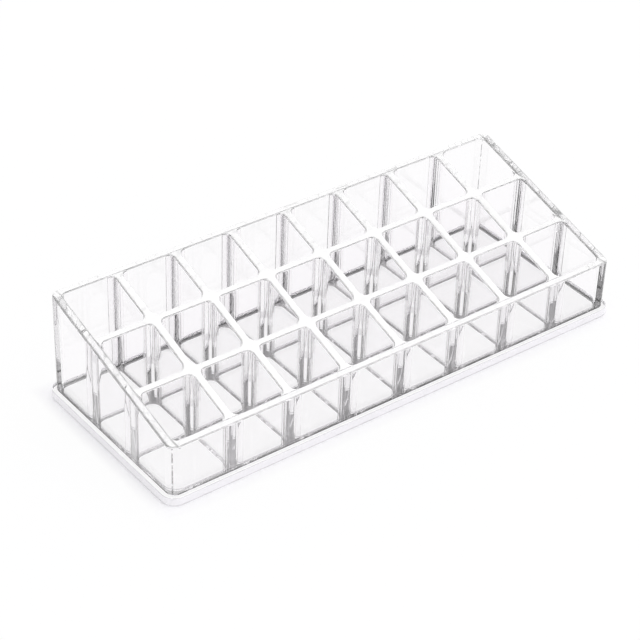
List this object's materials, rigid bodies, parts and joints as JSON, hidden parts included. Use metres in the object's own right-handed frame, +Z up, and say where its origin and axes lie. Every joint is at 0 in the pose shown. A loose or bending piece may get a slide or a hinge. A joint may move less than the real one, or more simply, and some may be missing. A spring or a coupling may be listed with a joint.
{
  "type": "vanity organizer",
  "caption": "Clear stepped cosmetics organizer: a wrap-round wall with a sloping top on a flanged base plate, divided into square pockets by interlocking panels.",
  "frame": {"origin": "middle of the base plate's flat underside, where the organizer stands", "axes": "+X along the long front from left to right, +Y from the low front wall to the tall back wall, +Z up"},
  "size_m": [0.225, 0.088, 0.0485],
  "materials": {
    "shell": "clear, colourless, polished",
    "dividers": "clear, colourless, polished",
    "base_plate": "clear, colourless, polished"
  },
  "bodies": {
    "root": {"base_plate": "base_plate", "outer_shell": "shell", "long_divider_front": "dividers", "long_divider_rear": "dividers", "cross_divider_1": "dividers", "cross_divider_2": "dividers", "cross_divider_3": "dividers", "cross_divider_4": "dividers", "cross_divider_5": "dividers", "cross_divider_6": "dividers", "cross_divider_7": "dividers"}
  },
  "joints": []
}
